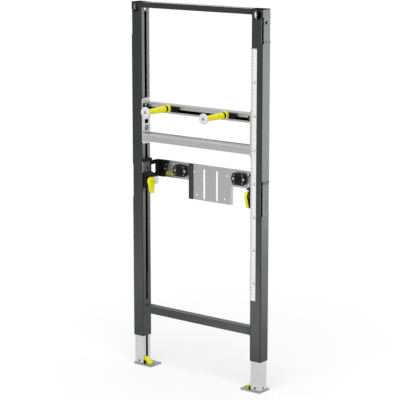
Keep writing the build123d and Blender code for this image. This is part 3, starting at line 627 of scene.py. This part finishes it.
# Fitting pads: eyelets in the screw holes, bushes and backs in the ports, and ribs on the fronts.
sheet_low, sheet_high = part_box("fitting_traverse")
for side in SIDES:
    pattern = mount("fitting_pad_holes_" + side)
    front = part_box("fitting_pad_" + side)[0].y
    middle = Vector((pattern["pos_m"][0], front, pattern["pos_m"][2]))
    across = pattern["dims"]["spacing_x_mm"] * MM / 2
    up = pattern["dims"]["spacing_y_mm"] * MM / 2
    hole = pattern["dims"]["hole_r_mm"] * MM
    eyelets = bmesh.new()
    profile = (
        (hole - EYELET_WALL, -hole),
        (hole - EYELET_WALL, EYELET_PROUD),
        (hole + EYELET_LIP, EYELET_PROUD),
        (hole + EYELET_LIP, 0.0),
        (hole, 0.0),
        (hole, -hole),
    )
    for sx in (-1, 1):
        for sz in (-1, 1):
            place = middle + Vector((sx * across, 0, sz * up))
            lathe(eyelets, profile, place, FORWARD, closed=True)
    piece("pad_eyelets_" + side, eyelets, "fitting_carrier", "dull_zinc")
    ports = [middle + Vector((sx * PORT_SPACING / 2, 0, 0)) for sx in (-1, 1)]
    bushes = bmesh.new()
    profile = (
        (BUSH_INNER, -BUSH_LONG),
        (BUSH_INNER, -BUSH_SUNK),
        (BUSH_OUTER, -BUSH_SUNK),
        (BUSH_OUTER, -BUSH_LONG),
    )
    for port in ports:
        lathe(bushes, profile, port, FORWARD, closed=True)
    piece("pad_bushes_" + side, bushes, "fitting_carrier", "zinc_steel")
    backs = bmesh.new()
    profile = ((BACK_RADIUS, 0.0), (BACK_RADIUS, BACK_THICK), (0.0, BACK_THICK + BUSH_SUNK))
    for port in ports:
        lathe(backs, profile, Vector((port.x, sheet_low.y + BACK_THICK, port.z)), FORWARD)
    piece("pad_backs_" + side, backs, "fitting_carrier", "black_rubber")
    ribs = bmesh.new()
    for index in range(PAD_RIB_COUNT):
        x = middle.x + (index - (PAD_RIB_COUNT - 1) / 2) * PAD_RIB_PITCH
        block(
            ribs,
            (x - PAD_RIB_WIDE / 2, front - PAD_RIB_PROUD, middle.z - PAD_RIB_TALL / 2),
            (x + PAD_RIB_WIDE / 2, front + PAD_RIB_PROUD, middle.z + PAD_RIB_TALL / 2),
        )
    piece("pad_ribs_" + side, ribs, "fitting_carrier", "black_rubber")

# Basin rail: washers under the clamp screws, and black blocks with a screw and plugs in its ends.
rail_low, rail_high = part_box("basin_rail")
rail_mid_z = (rail_low.z + rail_high.z) / 2
for side, inward in INWARD:
    clamp_low, clamp_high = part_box("basin_clamp_" + side)
    bracket_low, bracket_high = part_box("basin_bracket_" + side)
    face_x = bracket_high.x if inward > 0 else bracket_low.x
    washer = bmesh.new()
    centre = Vector((face_x, (clamp_low.y + clamp_high.y) / 2, (clamp_low.z + clamp_high.z) / 2))
    profile = (
        (WASHER_INNER, 0.0),
        (WASHER_INNER, WASHER_THICK),
        (WASHER_OUTER - WASHER_THICK / 2, WASHER_THICK),
        (WASHER_OUTER, WASHER_THICK / 2),
        (WASHER_OUTER, 0.0),
    )
    lathe(washer, profile, centre, (inward, 0, 0), closed=True)
    piece("clamp_washer_" + side, washer, "basin_carrier", "dull_zinc")
    end_block = bmesh.new()
    near, far = sorted((face_x, face_x + inward * BLOCK_THICK))
    block(
        end_block,
        (near, rail_low.y - BLOCK_DEEP, rail_mid_z + BLOCK_RISE - BLOCK_TALL / 2),
        (far, rail_low.y, rail_mid_z + BLOCK_RISE + BLOCK_TALL / 2),
    )
    piece("rail_end_block_" + side, end_block, "basin_carrier", "black_plastic")
    screw = bmesh.new()
    screw_x = face_x + inward * BLOCK_THICK
    place = Vector((screw_x, rail_low.y - BLOCK_SCREW_SETBACK, rail_mid_z + BLOCK_SCREW_RISE))
    lathe(screw, head(BLOCK_SCREW_HEAD, BLOCK_SCREW, BLOCK_SCREW), place, (inward, 0, 0))
    piece("rail_end_screw_" + side, screw, "basin_carrier", "zinc_steel")
    plug = bmesh.new()
    near, far = sorted((face_x, face_x + inward * RAIL_PLUG_THICK))
    block(
        plug,
        (near, rail_low.y + RAIL_PLUG_INSET, rail_low.z + RAIL_PLUG_INSET),
        (far, rail_high.y - RAIL_PLUG_INSET, rail_high.z - RAIL_PLUG_INSET),
    )
    piece("rail_plug_" + side, plug, "basin_carrier", "black_plastic")

# Studs: a screw in each cap's socket, a black ring round each sleeve's back end as painted shade in the groove
# there, ribs on each slider.
for side in SIDES:
    rod_low, rod_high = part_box("stud_rod_" + side)
    radius = (rod_high.x - rod_low.x) / 2
    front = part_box("stud_cap_" + side)[0].y
    centre = Vector(((rod_low.x + rod_high.x) / 2, front, (rod_low.z + rod_high.z) / 2))
    key = bmesh.new()
    profile = (
        (0.0, -STUD_SOCKET_SUNK),
        (STUD_SOCKET, -STUD_SOCKET_SUNK),
        (STUD_SOCKET, -STUD_FACE_SUNK),
        (radius * STUD_FACE, -STUD_FACE_SUNK),
        (radius * STUD_RIM, -STUD_RIM_SUNK),
        (radius * STUD_RIM, -STUD_RIM_END),
    )
    lathe(key, profile, centre, FORWARD)
    piece("stud_key_" + side, key, "basin_carrier", "dull_zinc")
    sleeve_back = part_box("stud_sleeve_" + side)[1].y
    # painted shade: a black ring in the groove behind the sleeve
    collar = bmesh.new()
    profile = (
        (GROOVE_SHADE_INNER, 0.0),
        (GROOVE_SHADE_OUTER, 0.0),
        (GROOVE_SHADE_OUTER, GROOVE_SHADE_LONG),
        (GROOVE_SHADE_INNER, GROOVE_SHADE_LONG),
    )
    lathe(collar, profile, Vector((centre.x, sleeve_back, centre.z)), FORWARD, closed=True)
    piece("stud_collar_" + side, collar, "basin_carrier", "black_plastic")
    slider_low, slider_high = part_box("stud_slider_" + side)
    bottom = slider_low.z + SLIDER_RIB_MARGIN
    top = slider_high.z - SLIDER_RIB_MARGIN
    ribs = bmesh.new()
    for index in range(SLIDER_RIB_COUNT):
        x = slider_high.x - (index + 1) * SLIDER_RIB_PITCH
        block(
            ribs,
            (x - SLIDER_RIB_WIDE / 2, slider_low.y - SLIDER_RIB_PROUD, bottom),
            (x + SLIDER_RIB_WIDE / 2, slider_low.y + SLIDER_RIB_PROUD, top),
        )
    piece("slider_ribs_" + side, ribs, "basin_carrier", "black_plastic")

# Pressed collars round the floor screw holes.
for side in SIDES:
    floor_screw = mount("floor_screw_" + side)
    hole = floor_screw["dims"]["r_mm"] * MM
    plate_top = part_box("foot_plate_" + side)[1].z
    collar = bmesh.new()
    profile = (
        (hole, -COLLAR_PROUD),
        (hole, COLLAR_PROUD),
        ((hole + COLLAR_OUTER) / 2, COLLAR_PROUD),
        (COLLAR_OUTER, 0.0),
        (COLLAR_OUTER, -COLLAR_PROUD),
    )
    base = Vector((floor_screw["pos_m"][0], floor_screw["pos_m"][1], plate_top))
    lathe(collar, profile, base, UPWARD, closed=True)
    piece("floor_hole_collar_" + side, collar, "foot_" + side, "dull_zinc")

# Black keys beside the clips on the feet, ribs on the clips in olive as painted shade on the yellow, and a low lug
# on the left one.
for side, inward in INWARD:
    clip_low, clip_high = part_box("foot_clip_" + side)
    near = clip_low.x if inward > 0 else clip_high.x - KEY_WIDE
    key_low = Vector((near, clip_low.y - KEY_DEEP, clip_low.z))
    key = bmesh.new()
    block(key, key_low, key_low + Vector((KEY_WIDE, KEY_DEEP, KEY_TALL)))
    piece("clip_key_" + side, key, "foot_" + side, "black_plastic")
    ribs = bmesh.new()
    for index in range(CLIP_RIB_COUNT):
        x = clip_low.x + (index + 1) * (clip_high.x - clip_low.x) / (CLIP_RIB_COUNT + 1)
        start = (x - CLIP_RIB / 2, clip_low.y - CLIP_RIB, clip_low.z)
        block(ribs, start, (x + CLIP_RIB / 2, clip_low.y + CLIP_RIB, clip_low.z + LUG_TALL))
    piece("clip_ribs_" + side, ribs, "foot_" + side, "yellow_plastic", "tag_olive")
clip_low, clip_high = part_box("foot_clip_left")
lug = bmesh.new()
lug_low = Vector((clip_high.x, clip_low.y, clip_low.z))
block(lug, lug_low, lug_low + Vector((LUG_WIDE, LUG_DEEP, LUG_TALL)))
piece("clip_lug", lug, "foot_left", "yellow_plastic")

# Black screws in the side plates of the fitting rail.
for side, inward in INWARD:
    plate_low, plate_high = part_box("side_plate_" + side)
    post_low, post_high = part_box("post_" + side)
    face_x = plate_high.x if inward > 0 else plate_low.x
    place = Vector((face_x, (post_low.y + post_high.y) / 2, plate_low.z + PLATE_SCREW_RISE))
    screw = bmesh.new()
    lathe(screw, head(PLATE_SCREW_HEAD, PLATE_SCREW, PLATE_SCREW_PROUD), place, (inward, 0, 0))
    piece("plate_screw_" + side, screw, "fitting_carrier", "black_plastic")

# Rivets in the ends of the fitting rail's holders, and the yellow tag beside the left one, olive with painted
# shade.
for side, inward in INWARD:
    rivets = bmesh.new()
    for out, drop in RIVET_PLACES:
        place = Vector((-inward * out, sheet_low.y - HOLDER_WEB, sheet_high.z - drop))
        lathe(rivets, head(RIVET_HEAD, RIVET, RIVET), place, FORWARD)
    piece("holder_rivets_" + side, rivets, "fitting_carrier", "zinc_steel")

tag = bmesh.new()
tag_low = Vector((TAG_LEFT, sheet_low.y - TAG_THICK, sheet_high.z - TAG_DROP - TAG_TALL))
block(tag, tag_low, tag_low + Vector((TAG_WIDE, TAG_THICK, TAG_BASE_TALL)))
for start, end, tall in TAG_PRONGS:
    prong_low = tag_low + Vector((start, -TAG_THICK / 2, 0))
    block(tag, prong_low, tag_low + Vector((end, TAG_THICK, tall)))
piece("rail_tag", tag, "fitting_carrier", "yellow_plastic", "tag_olive")

# Levers: yellow ends on the pins with a dark screw, black backs towards the posts as painted shade, and grip ribs.
for side, inward in INWARD:
    turn = next(joint for joint in frame["joints"] if joint["name"] == "lever_" + side + "_turn")
    pin_y, pin_z = turn["pos_m"][1], turn["pos_m"][2]
    lever_low, lever_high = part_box("clamp_lever_" + side)
    pin_low, pin_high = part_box("lever_pin_" + side)
    face_x = lever_high.x if inward > 0 else lever_low.x
    refinish(
        "lever_pin_" + side,
        "yellow_plastic",
        lambda normal, place: place.x * inward > face_x * inward,
    )
    # painted shade: the lever's faces turned towards the post are black
    refinish(
        "clamp_lever_" + side,
        "black_plastic",
        lambda normal, place: normal.x * inward < -BEND_SLOPE,
    )
    end_x = pin_high.x if inward > 0 else pin_low.x
    screw = bmesh.new()
    profile = head(LEVER_SCREW_HEAD, LEVER_SCREW, LEVER_SCREW_PROUD)
    lathe(screw, profile, Vector((end_x, pin_y, pin_z)), (inward, 0, 0))
    piece("lever_screw_" + side, screw, "fitting_carrier", "black_plastic")
    near, far = sorted((face_x - inward * SMALL_BEVEL, face_x + inward * LEVER_RIB_PROUD))
    ribs = bmesh.new()
    for index in range(LEVER_RIB_COUNT):
        z = lever_low.z + LEVER_RIB_RISE + index * LEVER_RIB_PITCH
        block(
            ribs,
            (near, pin_y - LEVER_RIB_LONG / 2, z - LEVER_RIB_WIDE / 2),
            (far, pin_y + LEVER_RIB_LONG / 2, z + LEVER_RIB_WIDE / 2),
        )
    piece("lever_ribs_" + side, ribs, "lever_" + side, "yellow_plastic")

# Floor: it scatters light as a pale sheet, and looks white to the camera and in reflections.
floor_mesh = bmesh.new()
bmesh.ops.create_grid(floor_mesh, x_segments=2, y_segments=2, size=FLOOR_SIZE / 2)
floor_data = bpy.data.meshes.new("floor")
floor_mesh.to_mesh(floor_data)
floor_mesh.free()
floor = bpy.data.objects.new("floor", floor_data)
bpy.context.scene.collection.objects.link(floor)


def seen_directly(tree):
    """A value of one for camera, glossy and transmission rays."""
    path = tree.nodes.new("ShaderNodeLightPath")
    value = path.outputs["Is Camera Ray"]
    for name in ("Is Glossy Ray", "Is Transmission Ray"):
        larger = tree.nodes.new("ShaderNodeMath")
        larger.operation = "MAXIMUM"
        tree.links.new(value, larger.inputs[0])
        tree.links.new(path.outputs[name], larger.inputs[1])
        value = larger.outputs[0]
    return value


floor_finish = bpy.data.materials.new("floor_pale")
floor_finish.use_nodes = True
tree = floor_finish.node_tree
tree.nodes.remove(tree.nodes["Principled BSDF"])
sheet = tree.nodes.new("ShaderNodeBsdfDiffuse")
sheet.inputs["Color"].default_value = FLOOR_COLOUR
glow = tree.nodes.new("ShaderNodeEmission")
lift = tree.nodes.new("ShaderNodeMath")
lift.operation = "MULTIPLY"
lift.inputs[1].default_value = FLOOR_LIFT
tree.links.new(seen_directly(tree), lift.inputs[0])
tree.links.new(lift.outputs[0], glow.inputs["Strength"])
both = tree.nodes.new("ShaderNodeAddShader")
tree.links.new(sheet.outputs[0], both.inputs[0])
tree.links.new(glow.outputs[0], both.inputs[1])
tree.links.new(both.outputs[0], tree.nodes["Material Output"].inputs["Surface"])
floor_data.materials.append(floor_finish)

# World: even light, white where it is seen.
world = bpy.data.worlds.new("studio")
bpy.context.scene.world = world
world.use_nodes = True
tree = world.node_tree
tree.nodes.clear()
dome = tree.nodes.new("ShaderNodeBackground")
dome.inputs["Color"].default_value = WORLD_LIGHT
dome.inputs["Strength"].default_value = WORLD_STRENGTH
white = tree.nodes.new("ShaderNodeBackground")
white.inputs["Color"].default_value = WORLD_SEEN
choice = tree.nodes.new("ShaderNodeMixShader")
tree.links.new(seen_directly(tree), choice.inputs["Fac"])
tree.links.new(dome.outputs[0], choice.inputs[1])
tree.links.new(white.outputs[0], choice.inputs[2])
output = tree.nodes.new("ShaderNodeOutputWorld")
tree.links.new(choice.outputs[0], output.inputs["Surface"])

sun = bpy.data.lights.new("sun", "SUN")
sun.energy = SUN_STRENGTH
sun.angle = SUN_ANGLE
sun_stand = bpy.data.objects.new("sun", sun)
sun_stand.rotation_euler = (-Vector(SUN_FROM)).to_track_quat("-Z", "Y").to_euler()
bpy.context.scene.collection.objects.link(sun_stand)

painted = bpy.data.collections.new("painted_steel")
for part in frame["record"]["subparts"]:
    if part["material_slot"] == "painted_steel":
        painted.objects.link(frame["nodes"][part["node"]])
painted.objects.link(bpy.data.objects["crossbar_welds"])

for name, place, aim, across, up, power in SOFT_BOXES:
    lamp = bpy.data.lights.new(name, "AREA")
    lamp.shape = "RECTANGLE"
    lamp.size = across
    lamp.size_y = up
    lamp.energy = power
    stand = bpy.data.objects.new(name, lamp)
    stand.location = place
    stand.rotation_euler = (Vector(aim) - Vector(place)).to_track_quat("-Z", "Y").to_euler()
    stand.light_linking.receiver_collection = painted
    bpy.context.scene.collection.objects.link(stand)

lens = bpy.data.cameras.new("camera")
lens.sensor_width = CAMERA_SENSOR
lens.lens = CAMERA_LENS
camera = bpy.data.objects.new("camera", lens)
camera.location = CAMERA_PLACE
camera.rotation_euler = (math.radians(90 - CAMERA_ELEVATION), 0, math.radians(CAMERA_AZIMUTH))
bpy.context.scene.collection.objects.link(camera)
bpy.context.scene.camera = camera
bpy.context.scene.view_settings.view_transform = "Standard"
